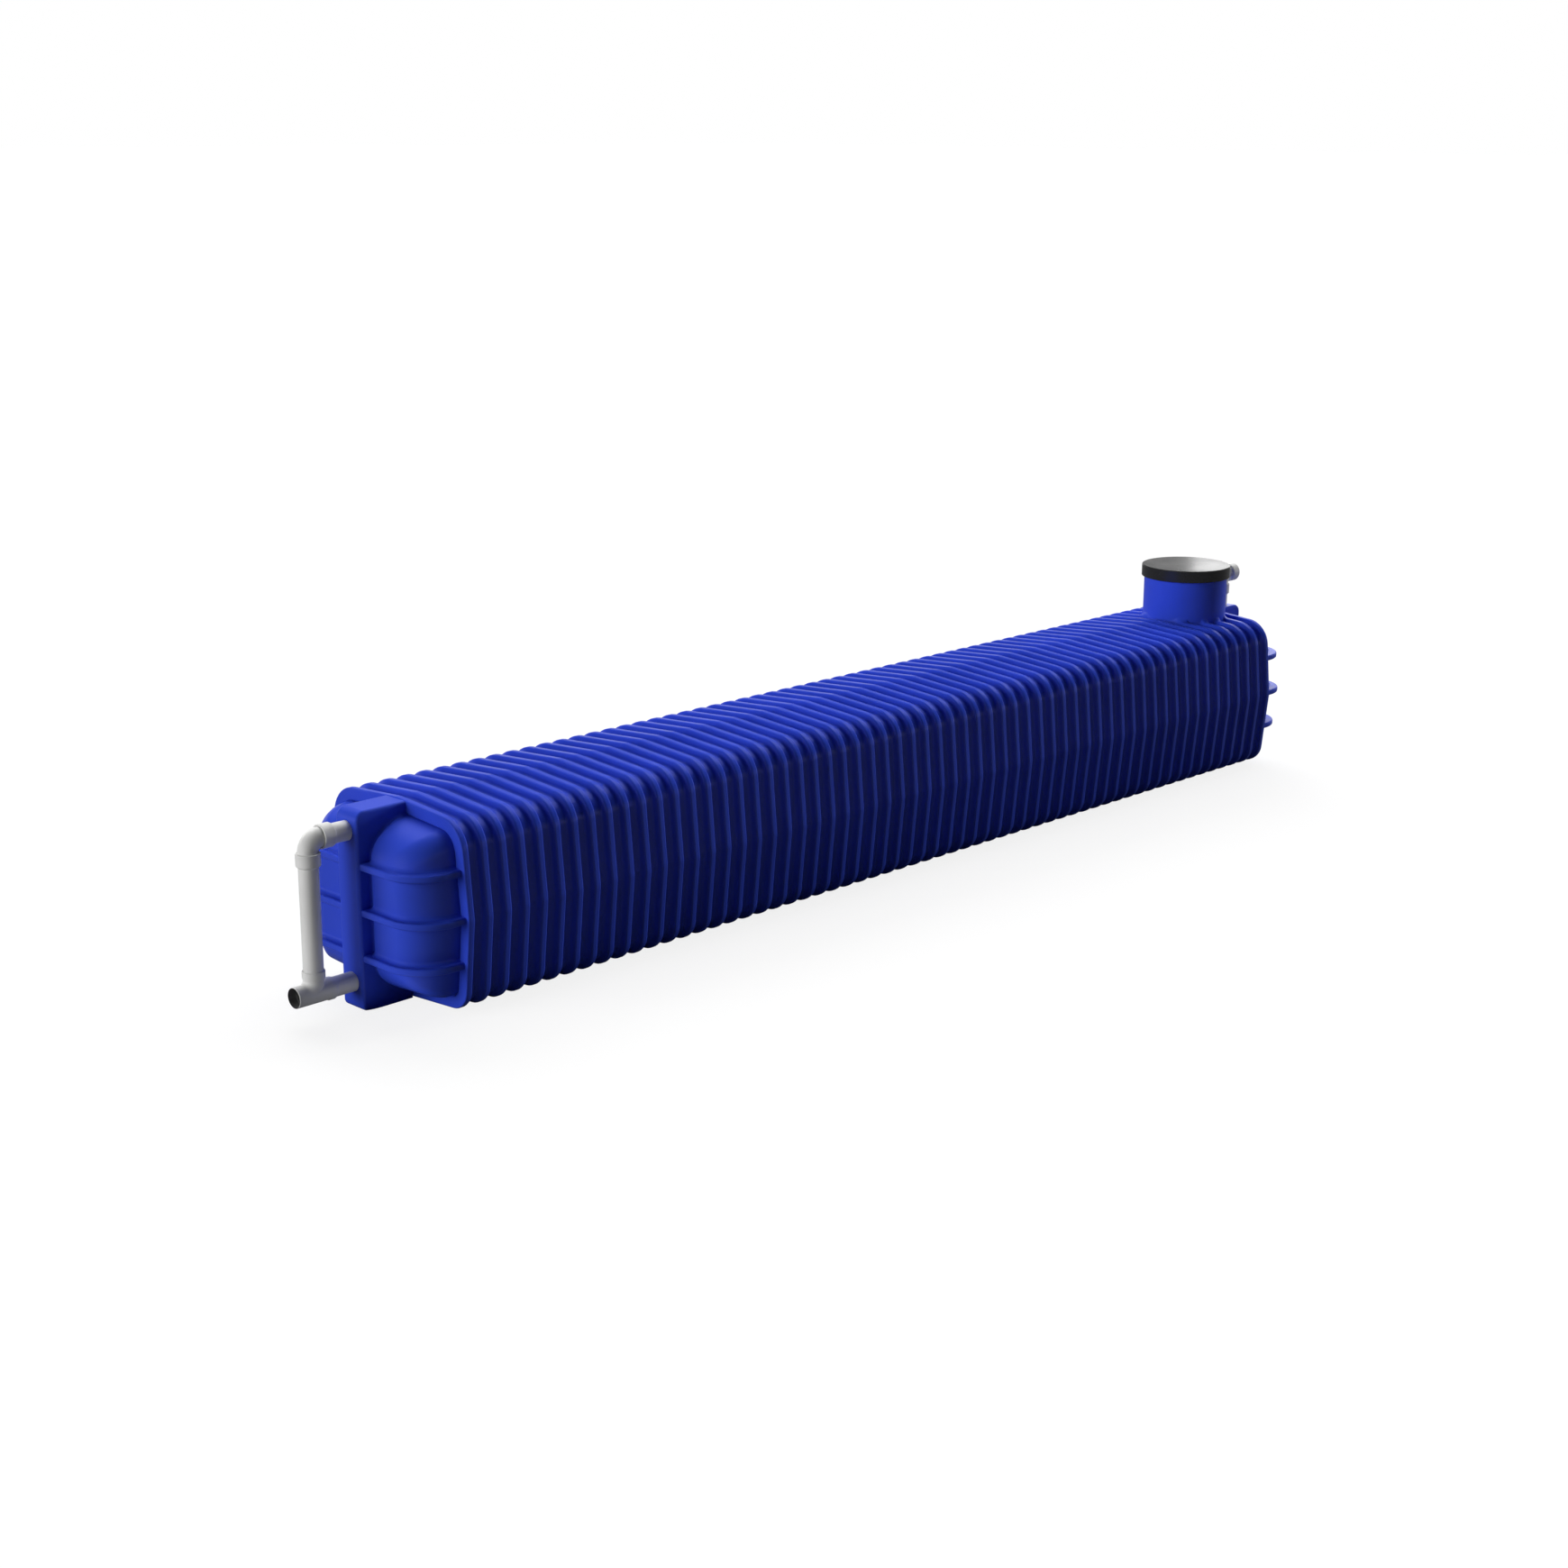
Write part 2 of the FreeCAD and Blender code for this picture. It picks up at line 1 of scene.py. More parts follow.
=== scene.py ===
import bmesh
import bpy
import math
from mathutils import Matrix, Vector


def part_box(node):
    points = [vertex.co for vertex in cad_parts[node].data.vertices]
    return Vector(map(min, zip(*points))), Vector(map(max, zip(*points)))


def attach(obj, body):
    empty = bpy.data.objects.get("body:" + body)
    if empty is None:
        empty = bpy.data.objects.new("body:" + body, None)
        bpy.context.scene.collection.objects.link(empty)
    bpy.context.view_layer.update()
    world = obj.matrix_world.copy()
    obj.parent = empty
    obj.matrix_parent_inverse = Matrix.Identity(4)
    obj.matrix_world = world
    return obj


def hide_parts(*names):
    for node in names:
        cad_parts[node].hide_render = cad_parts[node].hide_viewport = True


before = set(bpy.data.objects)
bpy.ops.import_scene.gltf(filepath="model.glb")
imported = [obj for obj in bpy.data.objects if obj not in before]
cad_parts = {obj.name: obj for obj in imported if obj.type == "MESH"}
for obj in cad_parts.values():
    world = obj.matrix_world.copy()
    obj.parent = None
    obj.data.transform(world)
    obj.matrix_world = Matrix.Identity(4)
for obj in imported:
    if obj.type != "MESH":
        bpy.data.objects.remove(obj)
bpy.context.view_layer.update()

# Long ribbed underground water tank, laid along X, in metres.
# Near is the -X end with the drain pipes, far the +X end with the manhole. Front is the -Y side.

# Sizes of the ribbed body
RIBS_PER_LENGTH = 12
LENGTH_COUNT = 5
RIM_LEAD = 0.020
RIB_PITCH = (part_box("roof_2")[1].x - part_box("roof_2")[0].x) / RIBS_PER_LENGTH
NEAR_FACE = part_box("near_rim")[0].x
FAR_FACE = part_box("far_rim")[1].x
NEAR_CREST = NEAR_FACE + RIM_LEAD
FAR_CREST = FAR_FACE - RIM_LEAD
FACE = {-1: NEAR_FACE, 1: FAR_FACE}
CREST = {-1: NEAR_CREST, 1: FAR_CREST}
HALF_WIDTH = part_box("back_wall_2")[1].y
RIDGE_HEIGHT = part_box("roof_2")[1].z
FOLD_HEIGHT = 0.553
SIDE_LEAN = 0.052
ROOF_FALL = 0.040
FLOOR_RISE = 0.038
EAVE_RADIUS = 0.180
FOOT_RADIUS = 0.128
RIB_DEPTH = 0.034
HALF_CREST = 0.019
FLANK_RUN = 0.017
WALL = 0.012
RIM_BAND = 0.072
RIM_LIP = 0.030
CREST_ROUND = 0.008
GROOVE_ROUND = 0.011
RIM_ROUND = 0.009
FOLD_EASE = 0.012
CORNER_STEPS = 9
FOLD_STEPS = 2
CREST_STEPS = 4
GROOVE_STEPS = 3
RIM_STEPS = 3
FLAT_ANGLE = 0.1

# Sizes of the ends
DOME_DEPTH = NEAR_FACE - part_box("near_front_dome")[0].x
DOME_ROUND = 0.200
DOME_STEPS = 12
DOME_CORNER_STEPS = 6
SPINE_REACH = 0.345
SPINE_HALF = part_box("near_spine")[1].y
SPINE_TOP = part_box("near_spine")[1].z
SPINE_EDGE = 0.018
SPINE_EDGE_STEPS = 6
SPINE_BROW = 0.060
SPINE_BROW_STEPS = 8
SPINE_TOE = 0.034
SPINE_TOE_STEPS = 5
FIN_THICKNESS = 0.040
FIN_SPACING = 0.256
FIN_LEVELS = (-1, 0, 1)
FIN_CORNER = 0.250
FIN_CORNER_STEPS = 16
FIN_SIDE_INSET = 0.024
FIN_SET_BACK = 0.012
FIN_EDGE = 0.011
FIN_EDGE_STEPS = 3
FIN_FILLET = 0.020
SPINE_FILLET = 0.018
VALLEY_WIDTH = 0.055
VALLEY_DEPTH = 0.026
VALLEY_STEPS = 5
VALLEY_EASE = 1.5
FILLET_STEPS = 4
FILLET_SKIN = 0.002

# Sizes of the manhole and the pipes
SHAFT_X = (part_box("manhole_lid")[0].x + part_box("manhole_lid")[1].x) / 2
SHAFT_RADIUS = 0.300
SHAFT_STEPS = 96
SHAFT_SOFT = 0.003
SHAFT_NODES = ["shaft_far", "shaft_back", "shaft_near", "shaft_front"]
SHAFT_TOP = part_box(SHAFT_NODES[0])[1].z
SHAFT_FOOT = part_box(SHAFT_NODES[0])[0].z
FLARE = 0.026
FLARE_STEPS = 5
FLARE_COUNT = 240
LID_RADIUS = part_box("manhole_lid")[1].y
LID_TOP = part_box("manhole_lid")[1].z
LID_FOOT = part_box("manhole_lid")[0].z
LID_WALL = 0.008
LID_THICKNESS = 0.014
LID_EDGE = 0.006
LID_EDGE_STEPS = 4
LID_SOFT = 0.002
LID_STEPS = 128
LID_CORE = 0.040
PIPE_RADIUS = 0.055
PIPE_WALL = 0.0032
FITTING_RADIUS = 0.058
SOCKET_RADIUS = 0.062
SOCKET_LENGTH = 0.076
BEND_RADIUS = 0.072
SWEEP_RADIUS = 0.075
BEND_STEPS = 14
COLLAR_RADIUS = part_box("inlet_elbow")[1].y
COLLAR_ENTRY = 0.020
COLLAR_SOFT = 0.0025
COLLAR_GAP = 0.0035
COLLAR_DEPTH = 0.010
TEE_SOCKET = 0.050
PIPE_X = (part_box("overflow_downpipe")[0].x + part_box("overflow_downpipe")[1].x) / 2
INLET_X = (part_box("inlet_pipe")[0].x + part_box("inlet_pipe")[1].x) / 2
OVERFLOW_HEIGHT = (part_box("overflow_stub")[0].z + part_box("overflow_stub")[1].z) / 2
OUTLET_HEIGHT = (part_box("outlet_stub")[0].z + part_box("outlet_stub")[1].z) / 2
INLET_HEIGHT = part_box("inlet_elbow")[1].z - COLLAR_RADIUS
ROUND_STEPS = 48

TINY = 0.0005
ALIGNED = 0.99
SMOOTH_ANGLE = math.radians(35)

# View
LENS = 56.014
SENSOR = 36
VIEW_DEPTH = 1000
VIEW_PLACE = (-11.0987, -10.2661, 4.6414)
VIEW_TURN = (74.6815, -0.2635, -45.6435)

# Light: how strong each lamp is, the side it comes from and how wide it spreads
AMBIENT = 0.02
AMBIENT_COLOUR = (0.9, 0.95, 1, 1)
KEY = 0.91
KEY_SIDE = (-0.942, 0.288, 0.174)
BACK = 0.82
BACK_SIDE = (0.383, 0.663, 0.643)
TOP = 0.54
TOP_SIDE = (0.62, 0.10, 0.78)
EDGE = 0.62
EDGE_SIDE = (0.963, -0.205, 0.174)
EDGE_SPREAD = math.radians(12)
SUN_SPREAD = math.radians(40)
SHEEN = 0.07
SHEEN_SIDE = (0.69, 0.105, 0.69)
SHEEN_SPREAD = math.radians(30)
FLOOR_SIZE = 600
FLOOR_SHADE = 0.15
FLOOR_BOUNCE = 0.13
FAR_CARD = 19
FAR_CARD_SIDE = (0.81, 0.56, 0.17)
FAR_CARD_PLACE = (7.49, 1.38, 2.17)
FAR_CARD_SIZE = (2, 1.6)
FOOT_CARD = 0.55
FOOT_CARD_PLACE = (-4.0, -0.5, 0.02)
FOOT_CARD_SIZE = (0.4, 0.6)
BAND_FOOT = math.radians(8)
BAND_TOP = math.radians(15)

# Clouds of tone in the plastics, and the height of their grain
CLOUD_LOW = 0.3
CLOUD_HIGH = 0.7
GRAIN_HEIGHT = 0.001

END_NODES = {1: ["near_rim"], LENGTH_COUNT: ["far_rim", "manhole_roof"]}
PIECES = {"tank_plastic": [], "pipe_plastic": [], "lid_plastic": []}


# Modelling helpers

def leave_edit():
    """Back to object mode with nothing selected."""
    if bpy.context.object and bpy.context.object.mode != "OBJECT":
        bpy.ops.object.mode_set(mode="OBJECT")
    bpy.ops.object.select_all(action="DESELECT")


def activate(piece):
    leave_edit()
    piece.select_set(True)
    bpy.context.view_layer.objects.active = piece


def edit(piece):
    activate(piece)
    bpy.ops.object.mode_set(mode="EDIT")
    bpy.ops.mesh.select_mode(type="VERT")
    bpy.ops.mesh.select_all(action="SELECT")


def pick(piece, kind, test):
    """In edit mode, select the vertices, edges or faces that pass a test."""
    bpy.ops.mesh.select_mode(type={"verts": "VERT", "edges": "EDGE", "faces": "FACE"}[kind])
    bpy.ops.mesh.select_all(action="DESELECT")
    mesh = bmesh.from_edit_mesh(piece.data)
    for item in getattr(mesh, kind):
        if test(item):
            item.select_set(True)
    mesh.select_flush_mode()
    bmesh.update_edit_mesh(piece.data)


def middle(edge):
    return (edge.verts[0].co + edge.verts[1].co) / 2


def along(edge, axis):
    """Whether an edge runs along one axis, 0 for X to 2 for Z."""
    step = edge.verts[1].co - edge.verts[0].co
    return abs(step[axis]) > ALIGNED * step.length


def settle():
    """Take the active object's place, turn and scale into its mesh."""
    bpy.ops.object.transform_apply(location=True, rotation=True, scale=True)


def block(name, low, high):
    """A box between two corners, its place in its mesh."""
    leave_edit()
    low = Vector(low)
    high = Vector(high)
    bpy.ops.mesh.primitive_cube_add(size=1, location=(low + high) / 2, scale=high - low)
    piece = bpy.context.object
    piece.name = name
    settle()
    return piece


def bevel(width, steps):
    """Round the selected edges."""
    bpy.ops.mesh.bevel(offset=width, segments=steps, profile=0.5, affect="EDGES")


def face_outwards():
    """In edit mode, select everything and turn its faces outwards."""
    bpy.ops.mesh.select_all(action="SELECT")
    bpy.ops.mesh.normals_make_consistent(inside=False)


def quarter(steps):
    """Angles from nothing to a right angle, in even steps."""
    return [math.pi / 2 * step / steps for step in range(steps + 1)]


def apply_modifier(piece, kind, **settings):
    activate(piece)
    modifier = piece.modifiers.new(kind.title(), kind)
    for key, value in settings.items():
        setattr(modifier, key, value)
    bpy.ops.object.modifier_apply(modifier=modifier.name)


def cut_across(axis, place, **keep):
    """Bisect everything selected with a plane square to one axis."""
    normal = [0, 0, 0]
    normal[axis] = 1
    point = [0, 0, 0]
    point[axis] = place
    bpy.ops.mesh.select_all(action="SELECT")
    bpy.ops.mesh.bisect(plane_co=point, plane_no=normal, **keep)


def smooth(piece):
    activate(piece)
    bpy.ops.object.shade_smooth_by_angle(angle=SMOOTH_ANGLE)


# Ribbed body

def section_tube(name, low_x, high_x):
    """The tank's eight-sided section as an open tube, its corners still sharp."""
    tube = block(name, (low_x, -HALF_WIDTH, 0), (high_x, HALF_WIDTH, RIDGE_HEIGHT))
    edit(tube)
    cut_across(2, FOLD_HEIGHT)
    cut_across(1, 0)
    pick(tube, "verts", lambda v: v.co.z > RIDGE_HEIGHT - TINY and abs(v.co.y) > TINY)
    bpy.ops.transform.translate(value=(0, 0, -ROOF_FALL))
    pick(tube, "verts", lambda v: v.co.z < TINY and abs(v.co.y) > TINY)
    bpy.ops.transform.translate(value=(0, 0, FLOOR_RISE))
    pick(tube, "verts", lambda v: abs(v.co.z - FOLD_HEIGHT) > TINY)
    draw_in = (HALF_WIDTH - SIDE_LEAN) / HALF_WIDTH
    bpy.ops.transform.resize(value=(1, draw_in, 1), center_override=(0, 0, 0))
    pick(tube, "faces", lambda f: abs(f.normal.x) > ALIGNED)
    bpy.ops.mesh.delete(type="FACE")
    return tube


def corner_offset(radius, at_eave):
    """How far back from a sharp corner a rounding of that radius starts."""
    fall = ROOF_FALL if at_eave else FLOOR_RISE
    rise = RIDGE_HEIGHT - ROOF_FALL - FOLD_HEIGHT if at_eave else FOLD_HEIGHT - FLOOR_RISE
    turn = math.atan2(rise, SIDE_LEAN) - math.atan2(fall, HALF_WIDTH - SIDE_LEAN)
    return radius * math.tan(turn / 2)


def long_edge(edge):
    """Whether an edge runs along the tank and not round it."""
    return abs(edge.verts[0].co.x - edge.verts[1].co.x) > TINY / 2


def round_corners(tube, inset, steps):
    """Round the four long corners of a section moved in so far, and ease its folds, ridge and keel."""
    for at_eave in (True, False):
        radius = (EAVE_RADIUS if at_eave else FOOT_RADIUS) - inset
        pick(tube, "edges", lambda e: long_edge(e) and abs(middle(e).y) > TINY
             and abs(middle(e).z - FOLD_HEIGHT) > TINY and (middle(e).z > FOLD_HEIGHT) == at_eave)
        bevel(corner_offset(radius, at_eave), steps)
    pick(tube, "edges", lambda e: long_edge(e)
         and (abs(middle(e).z - FOLD_HEIGHT) < TINY or abs(middle(e).y) < TINY))
    bevel(FOLD_EASE, FOLD_STEPS)


def one_rib():
    """One rib and half a groove each side of it, standing at X = 0."""
    rib = section_tube("rib", -RIB_PITCH / 2, RIB_PITCH / 2)
    round_corners(rib, 0, CORNER_STEPS)
    groove = HALF_CREST + FLANK_RUN
    for place in (HALF_CREST, groove):
        cut_across(0, place)
        cut_across(0, -place)
    pick(rib, "verts", lambda v: abs(v.co.x) > groove - TINY)
    bpy.ops.transform.shrink_fatten(value=-RIB_DEPTH, use_even_offset=True)
    leave_edit()
    return rib


def own_copy(piece, name):
    """A copy with its own mesh."""
    activate(piece)
    bpy.ops.object.duplicate(linked=False)
    twin = bpy.context.object
    twin.name = name
    return twin


def place(piece, offset):
    """Move a finished shape, its place kept in its mesh."""
    activate(piece)
    piece.location = offset
    settle()


def turn_in_rim(length, end):
    """Cut the last rib at its crest and turn its wall in as the flat rim round the domed end."""
    crest = CREST[end]
    edit(length)
    cut_across(0, crest, clear_inner=end < 0, clear_outer=end > 0)
    pick(length, "edges", lambda e: e.is_boundary and abs(middle(e).x - crest) < TINY)
    draw_edge = bpy.ops.mesh.extrude_edges_move
    draw_edge(TRANSFORM_OT_translate={"value": (end * RIM_LEAD, 0, 0)})
    draw_edge(TRANSFORM_OT_translate={"value": (end * TINY, 0, 0)})
    bpy.ops.transform.shrink_fatten(value=-RIM_BAND, use_even_offset=True)
    bpy.ops.transform.translate(value=(-end * TINY, 0, 0))
    draw_edge(TRANSFORM_OT_translate={"value": (-end * RIM_LIP, 0, 0)})


def ring_edges(piece, offsets):
    """Select the outer edges that go round the tank at given distances from the nearest crest."""
    inside = piece.vertex_groups["inside"].index
    groups = bmesh.from_edit_mesh(piece.data).verts.layers.deform.verify()

    def wanted(edge):
        if long_edge(edge):
            return False
        from_near = (middle(edge).x - NEAR_CREST) / RIB_PITCH
        away = abs(from_near - round(from_near)) * RIB_PITCH
        if not any(abs(away - offset) < TINY for offset in offsets) or edge.calc_face_angle(0) < FLAT_ANGLE:
            return False
        return not any(inside in vertex[groups] for vertex in edge.verts)

    pick(piece, "edges", wanted)


def ribbed_length(number, rib):
    """Twelve ribs in a row with a wall of even thickness, the end ones with their rim."""
    length = own_copy(rib, f"ribbed_length_{number}")
    place(length, (NEAR_CREST + (number - 1) * RIBS_PER_LENGTH * RIB_PITCH, 0, 0))
    apply_modifier(length, "ARRAY", count=RIBS_PER_LENGTH, use_relative_offset=False,
                   use_constant_offset=True, constant_offset_displace=(RIB_PITCH, 0, 0),
                   use_merge_vertices=True, merge_threshold=TINY / 10)
    if number == 1:
        turn_in_rim(length, -1)
    if number == LENGTH_COUNT:
        turn_in_rim(length, 1)
    activate(length)
    length.vertex_groups.new(name="inside")
    apply_modifier(length, "SOLIDIFY", thickness=WALL, offset=-1, use_even_offset=True,
                   use_quality_normals=True, shell_vertex_group="inside")
    edit(length)
    ring_edges(length, [HALF_CREST + FLANK_RUN])
    bevel(GROOVE_ROUND, GROOVE_STEPS)
    ring_edges(length, [HALF_CREST])
    bevel(CREST_ROUND, CREST_STEPS)
    if number in (1, LENGTH_COUNT):
        ring_edges(length, [RIM_LEAD])
        bevel(RIM_ROUND, RIM_STEPS)
    leave_edit()
    length.vertex_groups.clear()
    nodes = [f"{wall}_{number}" for wall in ("floor", "back_wall", "roof", "front_wall")]
    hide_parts(*nodes, *END_NODES.get(number, []))
    return length


def finish_piece(piece, slot, body="tank"):
    """Even shading on flats and roundings, and the body and finish the piece belongs to."""
    smooth(piece)
    apply_modifier(piece, "WEIGHTED_NORMAL", keep_sharp=True)
    leave_edit()
    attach(piece, body)
    PIECES[slot].append(piece)
    return piece


def remove(piece):
    bpy.data.objects.remove(piece)


def carve(piece, former, operation="DIFFERENCE"):
    apply_modifier(piece, "BOOLEAN", operation=operation, object=former, solver="EXACT")


def join(pieces, name):
    """One object from several, with their own solids kept apart."""
    activate(pieces[0])
    for piece in pieces[1:]:
        piece.select_set(True)
    bpy.ops.object.join()
    joined = bpy.context.object
    joined.name = name
    return joined


# Domed ends

def dome_ring(x, inset):
    """The section's outline at x, moved inwards and rounded, as a bare ring of edges."""
    ring = section_tube("dome_ring", x - RIB_PITCH, x)
    bpy.ops.mesh.select_all(action="SELECT")
    bpy.ops.transform.shrink_fatten(value=-inset, use_even_offset=True)
    round_corners(ring, RIM_BAND, DOME_CORNER_STEPS)
    pick(ring, "verts", lambda v: v.co.x < x - TINY)
    bpy.ops.mesh.delete(type="VERT")
    leave_edit()
    return ring


def bridge_rings(piece, places, axis):
    """Fill between neighbouring rings or lines of edges that stand at given places along one axis."""
    edit(piece)
    for here, there in zip(places, places[1:]):
        pick(piece, "edges", lambda e: all(abs(v.co[axis] - here) < TINY / 5 for v in e.verts)
             or all(abs(v.co[axis] - there) < TINY / 5 for v in e.verts))
        bpy.ops.mesh.bridge_edge_loops()
    face_outwards()


def sink_valley(former, places, face):
    """Round the domes down towards the spine, less and less near the rim."""
    angles = quarter(VALLEY_STEPS)[:-1]
    rows = [SPINE_HALF + VALLEY_WIDTH * (1 - math.cos(angle)) for angle in angles]
    edit(former)
    for row in rows + [SPINE_HALF + VALLEY_WIDTH]:
        cut_across(1, row)
        cut_across(1, -row)
    for place_x in places[2:]:
        ease = min(1, VALLEY_EASE * abs(place_x - face) / DOME_DEPTH)
        for angle, row in zip(angles, rows):
            pick(former, "verts", lambda v: abs(v.co.x - place_x) < TINY and (
                abs(abs(v.co.y) - row) < TINY or (row == rows[0] and abs(v.co.y) < row)))
            depth = ease * VALLEY_DEPTH * (1 - math.sin(angle))
            bpy.ops.transform.shrink_fatten(value=-depth, use_even_offset=True)
    leave_edit()


def dome_former(end):
    """The whole end as one closed form: the section drawn in along a quarter ellipse."""
    face = FACE[end]
    rings = [dome_ring(face - end * WALL, RIM_BAND)]
    places = [face - end * WALL]
    for angle in quarter(DOME_STEPS):
        places.append(face + end * DOME_DEPTH * math.sin(angle))
        rings.append(dome_ring(places[-1], RIM_BAND + DOME_ROUND * (1 - math.cos(angle))))
    former = join(rings, "dome_former")
    bridge_rings(former, places, 0)
    for place_x in (places[0], places[-1]):
        pick(former, "edges", lambda e: e.is_boundary and abs(middle(e).x - place_x) < TINY / 5)
        bpy.ops.mesh.edge_face_add()
    face_outwards()
    sink_valley(former, places, face)
    return former


def fillet(skin, axis, place, away, radius):
    """A hollow rounding between a flat side of a piece and the dome skin it stands on."""
    lines = []
    places = []
    for angle in quarter(FILLET_STEPS):
        places.append(place + away * radius * (1 - math.sin(angle)))
        line = own_copy(skin, "fillet")
        edit(line)
        bpy.ops.transform.shrink_fatten(value=radius * (1 - math.cos(angle)), use_even_offset=True)
        cut_across(axis, places[-1], clear_inner=True, clear_outer=True)
        leave_edit()
        lines.append(line)
    strip = join(lines, "fillet")
    bridge_rings(strip, places, axis)
    if sum(face.normal[axis] for face in bmesh.from_edit_mesh(strip.data).faces) * away < 0:
        bpy.ops.mesh.flip_normals()
    leave_edit()
    apply_modifier(strip, "SOLIDIFY", thickness=FILLET_SKIN, offset=-1)
    return strip


def clipped(former, end, side=0):
    """The part of an end's form that stands before the rim, on one side of the spine or on both."""
    skin = own_copy(former, "clipped")
    edit(skin)
    cut_across(0, FACE[end], clear_inner=end > 0, clear_outer=end < 0)
    if side:
        cut_across(1, side * SPINE_HALF, clear_inner=side > 0, clear_outer=side < 0)
    leave_edit()
    return skin


def half_dome(former, end, side, name):
    """One side's dome: a skin open towards the tank and beside the spine."""
    dome = own_copy(former, name)
    edit(dome)
    cut_across(1, side * SPINE_HALF, clear_inner=side > 0, clear_outer=side < 0)
    collar = FACE[end] - end * WALL
    pick(dome, "faces", lambda f: abs(f.calc_center_median().x - collar) < TINY)
    bpy.ops.mesh.delete(type="FACE")
    leave_edit()
    apply_modifier(dome, "SOLIDIFY", thickness=WALL, offset=-1, use_even_offset=True,
                   use_quality_normals=True)
    return dome


def fin(former, end, side, step):
    """One level fin from the spine round to the rim, cut to the dome it braces."""
    face = FACE[end]
    front = CREST[end] + end * (SPINE_REACH - FIN_SET_BACK)
    root = SPINE_HALF - WALL
    reach = HALF_WIDTH - FIN_SIDE_INSET - abs(step) * SIDE_LEAN / 2
    low = FOLD_HEIGHT + step * FIN_SPACING - FIN_THICKNESS / 2
    ys = sorted((side * root, side * reach))
    xs = sorted((face, front))
    plate = block("fin", (xs[0], ys[0], low), (xs[1], ys[1], low + FIN_THICKNESS))
    edit(plate)
    pick(plate, "edges", lambda e: along(e, 2) and abs(middle(e).x - front) < TINY
         and abs(middle(e).y - side * reach) < TINY)
    bevel(FIN_CORNER, FIN_CORNER_STEPS)
    pick(plate, "edges", lambda e: not along(e, 2) and abs(middle(e).x - face) > TINY
         and abs(middle(e).y - side * root) > TINY)
    bevel(FIN_EDGE, FIN_EDGE_STEPS)
    leave_edit()
    carve(plate, former)
    return plate


def spine(end, name, cutters):
    """The hollow upright spine: rounded front edges and brow, open towards the tank, holed for its pipes."""
    face = FACE[end]
    front = CREST[end] + end * SPINE_REACH
    xs = sorted((face, front))
    column = block(name, (xs[0], -SPINE_HALF, 0), (xs[1], SPINE_HALF, SPINE_TOP))
    edit(column)
    pick(column, "faces", lambda f: abs(f.calc_center_median().x - face) < TINY)
    bpy.ops.mesh.delete(type="FACE")
    pick(column, "edges", lambda e: along(e, 1) and abs(middle(e).x - front) < TINY
         and middle(e).z > FOLD_HEIGHT)
    bevel(SPINE_BROW, SPINE_BROW_STEPS)
    pick(column, "edges", lambda e: along(e, 1) and abs(middle(e).x - front) < TINY and middle(e).z < TINY)
    bevel(SPINE_TOE, SPINE_TOE_STEPS)
    pick(column, "edges", lambda e: abs(abs(middle(e).y) - SPINE_HALF) < TINY and not along(e, 1)
         and not (along(e, 2) and abs(middle(e).x - face) < TINY) and middle(e).z > TINY)
    bevel(SPINE_EDGE, SPINE_EDGE_STEPS)
    leave_edit()
    apply_modifier(column, "SOLIDIFY", thickness=WALL, offset=-1, use_even_offset=True)
    for cutter in cutters:
        carve(column, cutter)
    return column


# Turned and bent pieces

def turned(name, steps, ends="merged", count=SHAFT_STEPS):
    """A ring drawn through (radius, height) steps about Z, its ends merged, capped or left open."""
    leave_edit()
    radius, height = steps[0]
    bpy.ops.mesh.primitive_circle_add(vertices=count, radius=radius, location=(0, 0, height),
                                      fill_type="NOTHING")
    piece = bpy.context.object
    piece.name = name
    settle()
    edit(piece)
    for next_radius, next_height in steps[1:]:
        bpy.ops.mesh.extrude_edges_move(TRANSFORM_OT_translate={"value": (0, 0, next_height - height)})
        scale = next_radius / radius
        bpy.ops.transform.resize(value=(scale, scale, 1), center_override=(0, 0, next_height))
        radius = next_radius
        height = next_height
    if ends == "merged":
        bpy.ops.mesh.select_all(action="SELECT")
        bpy.ops.mesh.remove_doubles(threshold=TINY / 10)
    if ends == "capped":
        for _, end_height in (steps[0], steps[-1]):
            pick(piece, "edges", lambda e: e.is_boundary and abs(middle(e).z - end_height) < TINY / 10)
            bpy.ops.mesh.edge_face_add()
    face_outwards()
    leave_edit()
    return piece


def lay(piece, centre, tilt=0):
    """Put a shape turned about the upright axis in place, tilted from +Z towards +X by quarter turns."""
    activate(piece)
    piece.rotation_euler = (0, tilt * math.pi / 2, 0)
    piece.location = centre
    settle()
    return piece


def rod(radius, low, high, centre, tilt=0, count=ROUND_STEPS):
    """A plain round bar used to cut a hole."""
    return lay(turned("rod", [(radius, low), (radius, high)], ends="capped", count=count), centre, tilt)


def pipe_length(name, centre, length, tilt=0):
    """A plain pipe with softly broken ends."""
    bore = PIPE_RADIUS - PIPE_WALL
    soft = PIPE_WALL / 4
    steps = [(PIPE_RADIUS - soft, 0), (PIPE_RADIUS, soft), (PIPE_RADIUS, length - soft),
             (PIPE_RADIUS - soft, length), (bore + soft, length), (bore, length - soft), (bore, soft),
             (bore + soft, 0), (PIPE_RADIUS - soft, 0)]
    return lay(turned(name, steps, count=ROUND_STEPS), centre, tilt)


